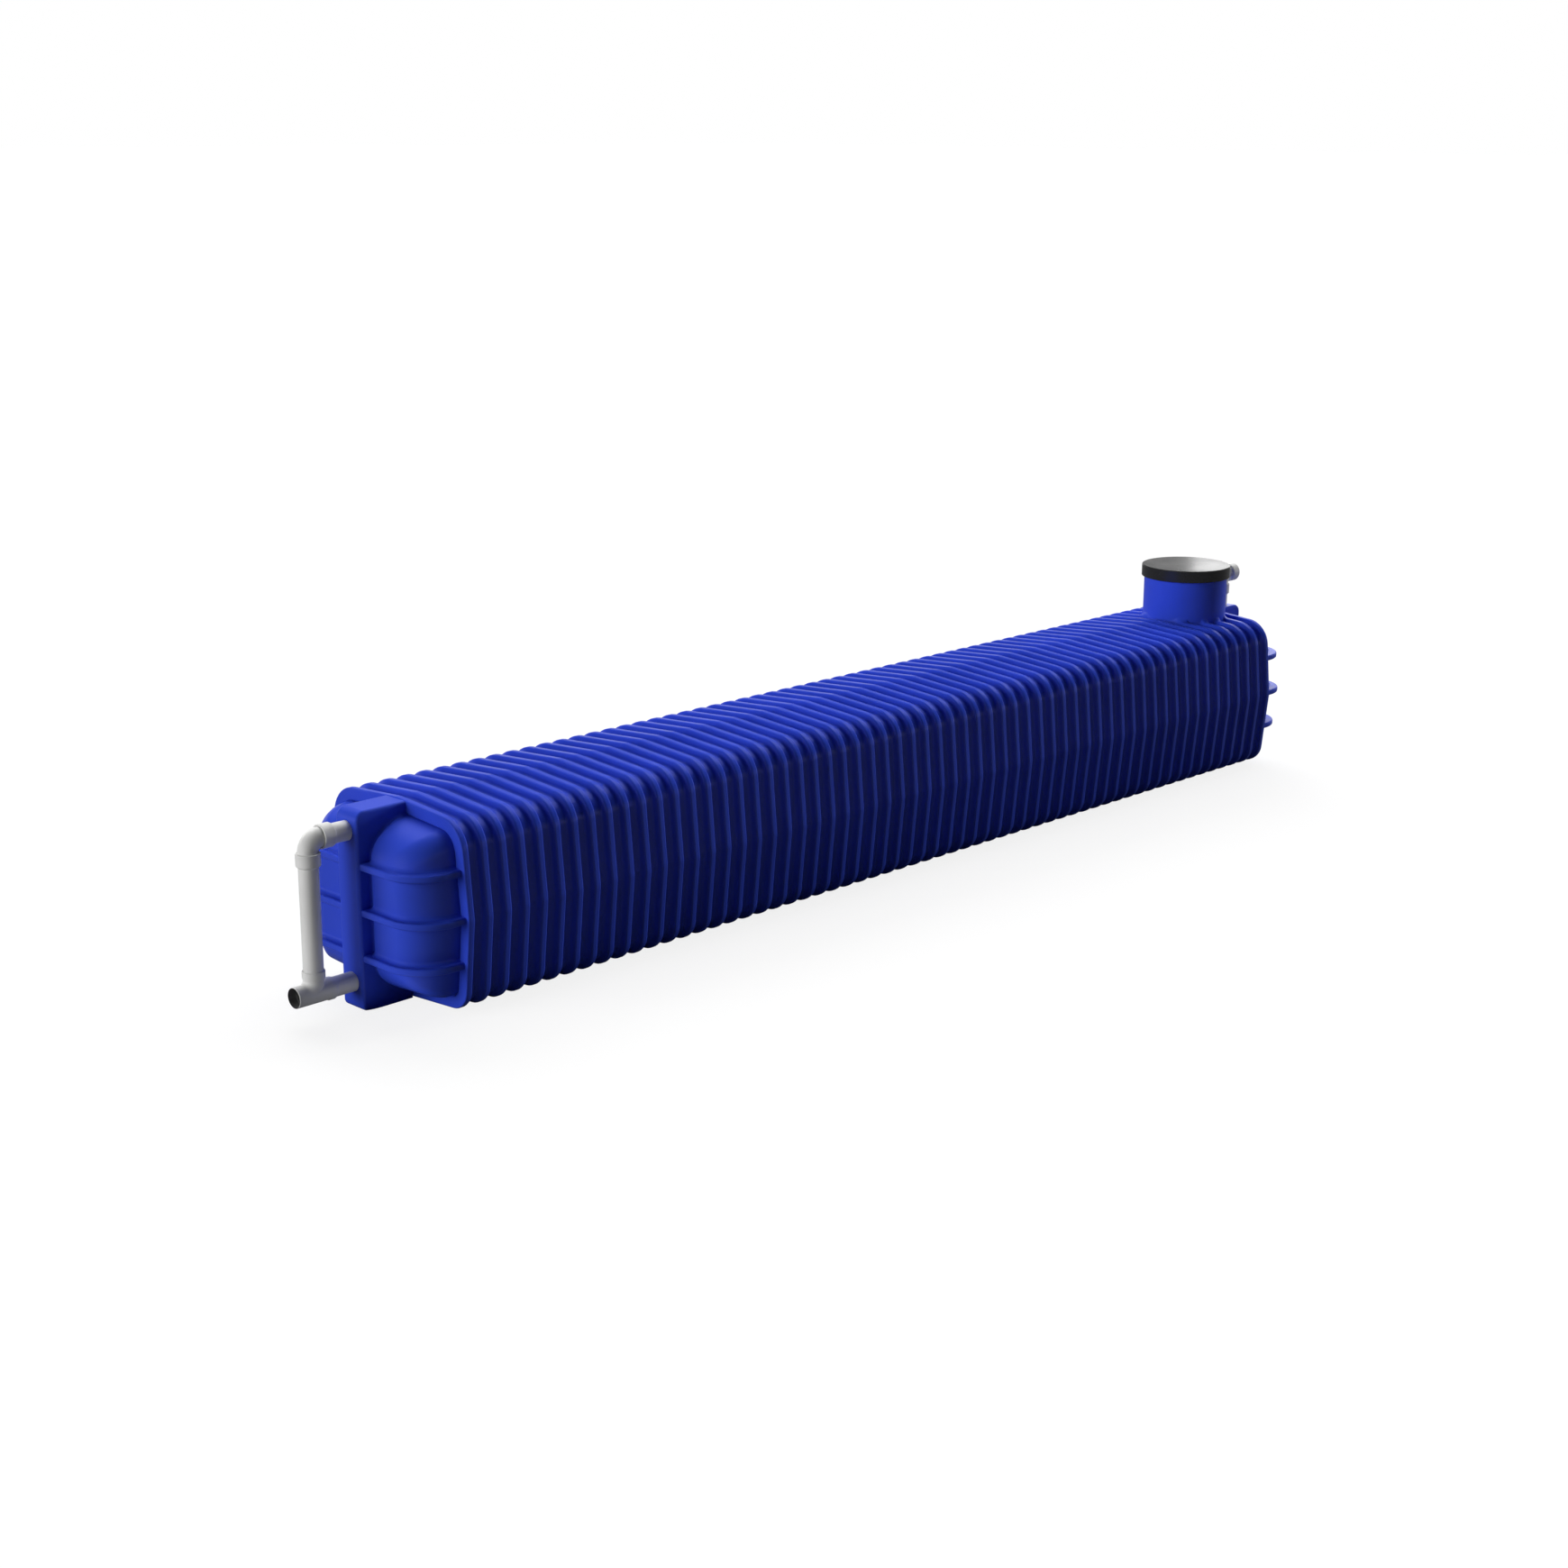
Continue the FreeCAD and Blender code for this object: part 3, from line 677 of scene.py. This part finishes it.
def bent_tube(name, start, rise, bend, reach, radius):
    """A plain tube: up a run, round a quarter bend, down towards -X if negative, and on along +X."""
    leave_edit()
    bpy.ops.mesh.primitive_circle_add(vertices=ROUND_STEPS, radius=radius, location=start,
                                      fill_type="NOTHING")
    tube = bpy.context.object
    tube.name = name
    settle()
    edit(tube)
    if rise:
        bpy.ops.mesh.extrude_edges_move(TRANSFORM_OT_translate={"value": (0, 0, rise)})
        pick(tube, "verts", lambda v: abs(v.co.z - start.z - rise) < TINY / 10)
    heart = Vector((start.x + bend, start.y, start.z + rise))
    bpy.ops.mesh.spin(steps=BEND_STEPS, angle=-math.pi / 2, center=heart, axis=(0, 1, 0))
    if reach:
        bpy.ops.mesh.extrude_edges_move(TRANSFORM_OT_translate={"value": (reach, 0, 0)})
    bpy.ops.mesh.select_all(action="SELECT")
    bpy.ops.mesh.remove_doubles(threshold=TINY / 10)
    face_outwards()
    leave_edit()
    return tube


def cap_ends(tube):
    """Close the open ends of a tube so that it can be joined to or cut from another."""
    edit(tube)
    pick(tube, "edges", lambda e: e.is_boundary)
    bpy.ops.mesh.edge_face_add()
    face_outwards()
    leave_edit()
    return tube


def collar_ring(radius, length, gap=COLLAR_GAP, depth=COLLAR_DEPTH):
    """A socket standing on its pipe at height 0, its mouth at the top with a gap round what enters it."""
    soft = COLLAR_SOFT
    inner = PIPE_RADIUS + gap
    steps = [(PIPE_RADIUS - soft, 0), (PIPE_RADIUS + soft, 0), (radius - soft, 2 * soft), (radius, 4 * soft),
             (radius, length - soft), (radius - soft, length), (inner + soft / 2, length),
             (inner, length - soft), (inner, length - depth), (PIPE_RADIUS - soft, length - depth),
             (PIPE_RADIUS - soft, 0)]
    return turned("collar", steps, count=ROUND_STEPS)


def elbow(name, x, height, open_socket):
    """A drain bend from straight down to along +X, a socket at each end, the +X one open if asked."""
    start = Vector((x, 0, height - BEND_RADIUS - COLLAR_ENTRY))
    reach = 0 if open_socket else COLLAR_ENTRY
    bend = bent_tube(name, start, COLLAR_ENTRY, BEND_RADIUS, reach, PIPE_RADIUS + TINY)
    apply_modifier(bend, "SOLIDIFY", thickness=PIPE_WALL, offset=-1, use_even_offset=True)
    low = lay(collar_ring(COLLAR_RADIUS, SOCKET_LENGTH), (x, 0, height - BEND_RADIUS - SOCKET_LENGTH))
    if open_socket:
        ring = collar_ring(COLLAR_RADIUS, SOCKET_LENGTH, gap=TINY, depth=SOCKET_LENGTH - COLLAR_ENTRY / 2)
        side = lay(ring, (x + BEND_RADIUS, 0, height), tilt=1)
    else:
        ring = collar_ring(COLLAR_RADIUS, SOCKET_LENGTH)
        side = lay(ring, (x + BEND_RADIUS + SOCKET_LENGTH, 0, height), tilt=-1)
    return join([bend, low, side], name)


def swept_tee(name, x, height):
    """The tee under the downpipe: a run along X and a branch that sweeps into it towards its nose."""
    nose, tail = (corner.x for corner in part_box("outlet_tee"))
    length = tail - nose
    shoulder = Vector((x, 0, height + SWEEP_RADIUS))
    soft = COLLAR_SOFT
    bore = PIPE_RADIUS - PIPE_WALL
    tee = turned(name, [
        (FITTING_RADIUS - soft, 0), (FITTING_RADIUS, soft), (FITTING_RADIUS, length - TEE_SOCKET),
        (SOCKET_RADIUS, length - TEE_SOCKET + 3 * soft), (SOCKET_RADIUS, length - 5 * soft),
        (FITTING_RADIUS, length - 2 * soft), (PIPE_RADIUS + soft, length - soft), (PIPE_RADIUS, length),
    ], ends="capped", count=ROUND_STEPS)
    lay(tee, (nose, 0, height), tilt=1)
    sweep = cap_ends(bent_tube("sweep", shoulder, 0, -SWEEP_RADIUS, 0, FITTING_RADIUS - TINY))
    carve(tee, sweep, "UNION")
    sweep_bore = cap_ends(bent_tube("sweep_bore", shoulder, TINY, -SWEEP_RADIUS, 0, bore - TINY))
    run_bore = turned("run_bore", [
        (PIPE_RADIUS + TINY, -soft), (PIPE_RADIUS + TINY, TEE_SOCKET), (bore, TEE_SOCKET + soft),
        (bore, length + soft),
    ], ends="capped", count=ROUND_STEPS)
    lay(run_bore, (nose, 0, height), tilt=1)
    for cutter in (run_bore, sweep_bore):
        carve(tee, cutter)
    for cutter in (run_bore, sweep_bore, sweep):
        remove(cutter)
    collar = lay(collar_ring(SOCKET_RADIUS, TEE_SOCKET), shoulder)
    return join([tee, collar], name)


# Manhole

def shaft_tube(name):
    """The round shaft with softly broken edges at its top."""
    bore = SHAFT_RADIUS - WALL
    soft = SHAFT_SOFT
    steps = [(bore, SHAFT_FOOT), (SHAFT_RADIUS, SHAFT_FOOT), (SHAFT_RADIUS, SHAFT_TOP - soft),
             (SHAFT_RADIUS - soft, SHAFT_TOP), (bore + soft, SHAFT_TOP), (bore, SHAFT_TOP - soft),
             (bore, SHAFT_FOOT)]
    return lay(turned(name, steps), (SHAFT_X, 0, 0))


def shaft_flare(landing):
    """The hollow curve that eases the shaft into the ribs, its rings dropped onto what is below."""
    angles = quarter(FLARE_STEPS)
    radii = [SHAFT_RADIUS + TINY + FLARE * (1 - math.sin(angle)) for angle in angles]
    flare = turned("flare", [(radius, SHAFT_TOP) for radius in radii], ends="open", count=FLARE_COUNT)
    for step, radius in enumerate(radii):
        ring = flare.vertex_groups.new(name=f"ring_{step}")
        members = [v.index for v in flare.data.vertices if abs(v.co.xy.length - radius) < TINY / 5]
        ring.add(members, 1, "REPLACE")
    lay(flare, (SHAFT_X, 0, 0))
    for step, angle in enumerate(angles):
        apply_modifier(flare, "SHRINKWRAP", target=landing, wrap_method="PROJECT", use_project_z=True,
                       use_negative_direction=True, use_positive_direction=False, vertex_group=f"ring_{step}",
                       offset=FLARE * (1 - math.cos(angle)))
    flare.vertex_groups.clear()
    apply_modifier(flare, "SOLIDIFY", thickness=WALL / 2, offset=-1)
    return flare


def lid_cap(name):
    """The lid: a flat top with a rounded edge and a skirt over the shaft."""
    inner = LID_RADIUS - LID_WALL
    edge = LID_EDGE
    soft = LID_SOFT
    under = LID_TOP - LID_THICKNESS
    rounding = [(LID_RADIUS - edge + edge * math.cos(angle), LID_TOP - edge + edge * math.sin(angle))
                for angle in quarter(LID_EDGE_STEPS)]
    steps = [(LID_CORE, under), (inner - edge, under), (inner, under - edge), (inner, LID_FOOT + soft),
             (inner + soft, LID_FOOT), (LID_RADIUS - soft, LID_FOOT), (LID_RADIUS, LID_FOOT + soft)]
    steps += rounding + [(LID_CORE, LID_TOP)]
    return lay(turned(name, steps, ends="capped", count=LID_STEPS), (SHAFT_X, 0, 0))


# Build the tank

rib = one_rib()
lengths = [ribbed_length(number, rib) for number in range(1, LENGTH_COUNT + 1)]
remove(rib)
shaft_former = rod(SHAFT_RADIUS, SHAFT_FOOT - WALL, SHAFT_TOP, (SHAFT_X, 0, 0), count=SHAFT_STEPS)
carve(lengths[-1], shaft_former)
for length in lengths:
    finish_piece(length, "tank_plastic")

near_front_x = NEAR_CREST - SPINE_REACH
pipe_holes = {
    -1: [rod(PIPE_RADIUS + TINY, -WALL * 2, WALL * 2, (near_front_x, 0, height), tilt=1)
         for height in (OVERFLOW_HEIGHT, OUTLET_HEIGHT)],
    1: [rod(PIPE_RADIUS + TINY, -WALL * 2, WALL * 2, (INLET_X, 0, SPINE_TOP)), shaft_former],
}
for end, end_name in ((-1, "near"), (1, "far")):
    former = dome_former(end)
    whole_skin = clipped(former, end)
    for side, side_name in ((-1, "front"), (1, "back")):
        dome = half_dome(former, end, side, f"{end_name}_{side_name}_dome_skin")
        seam = fillet(whole_skin, 1, side * SPINE_HALF, side, SPINE_FILLET)
        dome = join([dome, seam], dome.name)
        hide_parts(f"{end_name}_{side_name}_dome")
        finish_piece(dome, "tank_plastic")
        half_skin = clipped(former, end, side)
        fins = [fin(former, end, side, step) for step in FIN_LEVELS]
        for step in FIN_LEVELS:
            for away in (1, -1):
                level = FOLD_HEIGHT + step * FIN_SPACING + away * FIN_THICKNESS / 2
                fins.append(fillet(half_skin, 2, level, away, FIN_FILLET))
        remove(half_skin)
        fins = join(fins, f"{end_name}_{side_name}_fin_set")
        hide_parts(f"{end_name}_{side_name}_fins")
        finish_piece(fins, "tank_plastic")
    remove(former)
    remove(whole_skin)
    column = spine(end, f"{end_name}_spine_column", pipe_holes[end])
    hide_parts(f"{end_name}_spine")
    finish_piece(column, "tank_plastic")
for cutter in pipe_holes[-1] + pipe_holes[1]:
    remove(cutter)

under_shaft = ("ribbed_length_5", "far_spine_column", "far_front_dome_skin", "far_back_dome_skin")
landing = join([own_copy(bpy.data.objects[name], "landing") for name in under_shaft], "landing")
shaft = join([shaft_tube("shaft"), shaft_flare(landing)], "manhole_shaft_tube")
remove(landing)
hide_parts(*SHAFT_NODES)
finish_piece(shaft, "tank_plastic")
lid = lid_cap("manhole_lid_cap")
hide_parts("manhole_lid")
finish_piece(lid, "lid_plastic", body="lid")

for node, tilt in (("overflow_stub", 1), ("outlet_stub", 1), ("overflow_downpipe", 0), ("inlet_pipe", 0)):
    low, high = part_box(node)
    span = high - low
    foot = (low + high) / 2
    axis = 0 if tilt else 2
    foot[axis] = low[axis]
    pipe = pipe_length(f"{node}_tube", foot, span[axis], tilt)
    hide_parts(node)
    finish_piece(pipe, "pipe_plastic")
for node, x, height, open_socket in (("overflow_elbow", PIPE_X, OVERFLOW_HEIGHT, False),
                                     ("inlet_elbow", INLET_X, INLET_HEIGHT, True)):
    bend = elbow(f"{node}_bend", x, height, open_socket)
    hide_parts(node)
    finish_piece(bend, "pipe_plastic")
tee = swept_tee("outlet_tee_sweep", PIPE_X, OUTLET_HEIGHT)
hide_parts("outlet_tee")
finish_piece(tee, "pipe_plastic")


# Finishes

def node_group(name, inputs, outputs):
    """An empty shader group with named value sockets."""
    group = bpy.data.node_groups.new(name, "ShaderNodeTree")
    for label, value in inputs.items():
        socket = group.interface.new_socket(label, in_out="INPUT", socket_type="NodeSocketFloat")
        socket.default_value = value
    for label in outputs:
        group.interface.new_socket(label, in_out="OUTPUT", socket_type="NodeSocketFloat")
    return group, group.nodes.new("NodeGroupInput"), group.nodes.new("NodeGroupOutput")


def moulded_surface():
    """Faint clouds of tone and a fine orange-peel grain, as moulded plastic has."""
    group, given, out = node_group("moulded_surface", {"Cloud Scale": 2, "Grain Scale": 300},
                                   ("Cloud", "Grain"))
    links = group.links
    place_on = group.nodes.new("ShaderNodeTexCoord")
    for label, detail in (("Cloud", 3), ("Grain", 2)):
        noise = group.nodes.new("ShaderNodeTexNoise")
        noise.inputs["Detail"].default_value = detail
        links.new(place_on.outputs["Object"], noise.inputs["Vector"])
        links.new(given.outputs[f"{label} Scale"], noise.inputs["Scale"])
        links.new(noise.outputs["Fac"], out.inputs[label])
    return group


def plastic(name, group, dark, light, rough, cloud_scale, grain_scale, grain, specular=0.5):
    """A moulded plastic between two tones, its gloss varying with the same clouds."""
    material = bpy.data.materials.new(name)
    material.use_nodes = True
    nodes = material.node_tree.nodes
    links = material.node_tree.links
    shader = nodes["Principled BSDF"]
    surface = nodes.new("ShaderNodeGroup")
    surface.node_tree = group
    surface.inputs["Cloud Scale"].default_value = cloud_scale
    surface.inputs["Grain Scale"].default_value = grain_scale
    tone = nodes.new("ShaderNodeValToRGB")
    tone.color_ramp.elements[0].position = CLOUD_LOW
    tone.color_ramp.elements[0].color = (*dark, 1)
    tone.color_ramp.elements[1].position = CLOUD_HIGH
    tone.color_ramp.elements[1].color = (*light, 1)
    links.new(surface.outputs["Cloud"], tone.inputs["Fac"])
    links.new(tone.outputs["Color"], shader.inputs["Base Color"])
    gloss = nodes.new("ShaderNodeMapRange")
    gloss.inputs["From Min"].default_value = CLOUD_LOW
    gloss.inputs["From Max"].default_value = CLOUD_HIGH
    gloss.inputs["To Min"].default_value = rough[0]
    gloss.inputs["To Max"].default_value = rough[1]
    links.new(surface.outputs["Cloud"], gloss.inputs["Value"])
    links.new(gloss.outputs["Result"], shader.inputs["Roughness"])
    bump = nodes.new("ShaderNodeBump")
    bump.inputs["Strength"].default_value = grain
    bump.inputs["Distance"].default_value = GRAIN_HEIGHT
    links.new(surface.outputs["Grain"], bump.inputs["Height"])
    links.new(bump.outputs["Normal"], shader.inputs["Normal"])
    shader.inputs["Specular IOR Level"].default_value = specular
    return material


surface_group = moulded_surface()
FINISHES = {
    "tank_plastic": plastic("blue_polyethylene", surface_group,
                            dark=(0.025, 0.058, 0.52), light=(0.032, 0.070, 0.60),
                            rough=(0.28, 0.36), cloud_scale=1.5, grain_scale=260, grain=0.10, specular=0.25),
    "pipe_plastic": plastic("grey_drain_plastic", surface_group,
                            dark=(0.80, 0.80, 0.79), light=(0.86, 0.86, 0.85),
                            rough=(0.30, 0.40), cloud_scale=4, grain_scale=500, grain=0.05),
    "lid_plastic": plastic("black_lid_plastic", surface_group,
                           dark=(0.010, 0.010, 0.011), light=(0.014, 0.014, 0.015),
                           rough=(0.22, 0.30), cloud_scale=3, grain_scale=400, grain=0.06),
    # Painted shade: a darker grey for the inside of the tee's bore, where little light reaches; the pipe
    # itself is one grey.
    "painted_bore_shade": plastic("grey_pipe_depth", surface_group,
                          dark=(0.20, 0.20, 0.205), light=(0.24, 0.24, 0.245),
                          rough=(0.45, 0.55), cloud_scale=4, grain_scale=500, grain=0.05),
}
for slot, pieces in PIECES.items():
    for piece in pieces:
        piece.data.materials.clear()
        piece.data.materials.append(FINISHES[slot])


def paint_bore_shade(piece, height):
    """Paint shade on the faces inside a level mouth: a darker grey standing in for the shade deep in the
    pipe, not a colour the pipe has.
    """
    piece.data.materials.append(FINISHES["painted_bore_shade"])
    for polygon in piece.data.polygons:
        out = Vector((0, polygon.center.y, polygon.center.z - height))
        if out.length < PIPE_RADIUS + 2 * TINY and polygon.normal.dot(out) < 0:
            polygon.material_index = 1


# Paint shade on the faces inside the tee's open mouth.
paint_bore_shade(tee, OUTLET_HEIGHT)


# Camera and studio

def aim_camera():
    """A long view of the near end and the front side."""
    camera = bpy.data.objects.new("view", bpy.data.cameras.new("view"))
    bpy.context.scene.collection.objects.link(camera)
    bpy.context.scene.camera = camera
    camera.data.sensor_width = SENSOR
    camera.data.lens = LENS
    camera.data.clip_end = VIEW_DEPTH
    camera.location = VIEW_PLACE
    camera.rotation_euler = [math.radians(turn) for turn in VIEW_TURN]


def lamp(name, kind, strength, towards, at=(0, 0, 0), mirrored=False, **settings):
    """A lamp from the direction given, or at a place, that lights surfaces or is only mirrored in them."""
    light = bpy.data.objects.new(name, bpy.data.lights.new(name, kind))
    bpy.context.scene.collection.objects.link(light)
    light.data.energy = strength
    for key, value in settings.items():
        setattr(light.data, key, value)
    light.location = at
    light.rotation_euler = Vector(towards).to_track_quat("Z", "Y").to_euler()
    light.visible_camera = False
    light.visible_diffuse = not mirrored
    light.visible_glossy = mirrored


def sum_of(nodes, links, sockets):
    """Add several yes-or-no sockets."""
    total = sockets[0]
    for socket in sockets[1:]:
        plus = nodes.new("ShaderNodeMath")
        links.new(total, plus.inputs[0])
        links.new(socket, plus.inputs[1])
        total = plus.outputs[0]
    return total


def pale_room():
    """White near the horizon for what is seen or mirrored, darker overhead, with a low light all round."""
    world = bpy.data.worlds.new("pale_room")
    bpy.context.scene.world = world
    world.use_nodes = True
    nodes = world.node_tree.nodes
    links = world.node_tree.links
    ambient = nodes["Background"]
    ambient.inputs["Color"].default_value = AMBIENT_COLOUR
    ambient.inputs["Strength"].default_value = AMBIENT
    place_on = nodes.new("ShaderNodeTexCoord")
    split = nodes.new("ShaderNodeSeparateXYZ")
    links.new(place_on.outputs["Generated"], split.inputs["Vector"])
    band = nodes.new("ShaderNodeMapRange")
    band.inputs["From Min"].default_value = math.sin(BAND_FOOT)
    band.inputs["From Max"].default_value = math.sin(BAND_TOP)
    band.inputs["To Min"].default_value = 1
    band.inputs["To Max"].default_value = AMBIENT
    links.new(split.outputs["Z"], band.inputs["Value"])
    seen = nodes.new("ShaderNodeBackground")
    seen.inputs["Color"].default_value = (1, 1, 1, 1)
    links.new(band.outputs["Result"], seen.inputs["Strength"])
    path = nodes.new("ShaderNodeLightPath")
    mix = nodes.new("ShaderNodeMixShader")
    rays = [path.outputs[f"Is {kind} Ray"] for kind in ("Camera", "Glossy", "Transmission")]
    links.new(sum_of(nodes, links, rays), mix.inputs["Fac"])
    links.new(ambient.outputs["Background"], mix.inputs[1])
    links.new(seen.outputs["Background"], mix.inputs[2])
    links.new(mix.outputs["Shader"], nodes["World Output"].inputs["Surface"])


def pale_floor():
    """A white floor that keeps a faint shadow and throws little light back up."""
    bpy.ops.mesh.primitive_plane_add(size=FLOOR_SIZE, location=(0, 0, -TINY))
    floor = bpy.context.object
    floor.name = "floor_sheet"
    material = bpy.data.materials.new("pale_floor")
    material.use_nodes = True
    nodes = material.node_tree.nodes
    links = material.node_tree.links
    nodes.remove(nodes["Principled BSDF"])
    glow = nodes.new("ShaderNodeEmission")
    glow.inputs["Strength"].default_value = 1 - FLOOR_SHADE
    matte = nodes.new("ShaderNodeBsdfDiffuse")
    matte.inputs["Color"].default_value = (FLOOR_SHADE, FLOOR_SHADE, FLOOR_SHADE, 1)
    shown = nodes.new("ShaderNodeAddShader")
    links.new(glow.outputs["Emission"], shown.inputs[0])
    links.new(matte.outputs["BSDF"], shown.inputs[1])
    dull = nodes.new("ShaderNodeBsdfDiffuse")
    dull.inputs["Color"].default_value = (FLOOR_BOUNCE, FLOOR_BOUNCE, FLOOR_BOUNCE, 1)
    path = nodes.new("ShaderNodeLightPath")
    mix = nodes.new("ShaderNodeMixShader")
    links.new(path.outputs["Is Camera Ray"], mix.inputs["Fac"])
    links.new(dull.outputs["BSDF"], mix.inputs[1])
    links.new(shown.outputs["Shader"], mix.inputs[2])
    links.new(mix.outputs["Shader"], nodes["Material Output"].inputs["Surface"])
    floor.data.materials.append(material)


bpy.context.scene.view_settings.view_transform = "Standard"
leave_edit()
aim_camera()
pale_room()
pale_floor()
lamp("key", "SUN", KEY * math.pi, KEY_SIDE, angle=SUN_SPREAD)
lamp("back", "SUN", BACK * math.pi, BACK_SIDE, angle=SUN_SPREAD)
lamp("top", "SUN", TOP * math.pi, TOP_SIDE, angle=SUN_SPREAD)
lamp("edge", "SUN", EDGE * math.pi, EDGE_SIDE, angle=EDGE_SPREAD)
lamp("sheen", "SUN", SHEEN * math.pi, SHEEN_SIDE, mirrored=True, angle=SHEEN_SPREAD)
lamp("far_card", "AREA", FAR_CARD, FAR_CARD_SIDE, at=FAR_CARD_PLACE, mirrored=True, shape="RECTANGLE",
     size=FAR_CARD_SIZE[0], size_y=FAR_CARD_SIZE[1])
lamp("foot_card", "AREA", FOOT_CARD, (0, 0, -1), at=FOOT_CARD_PLACE, shape="RECTANGLE",
     size=FOOT_CARD_SIZE[0], size_y=FOOT_CARD_SIZE[1])
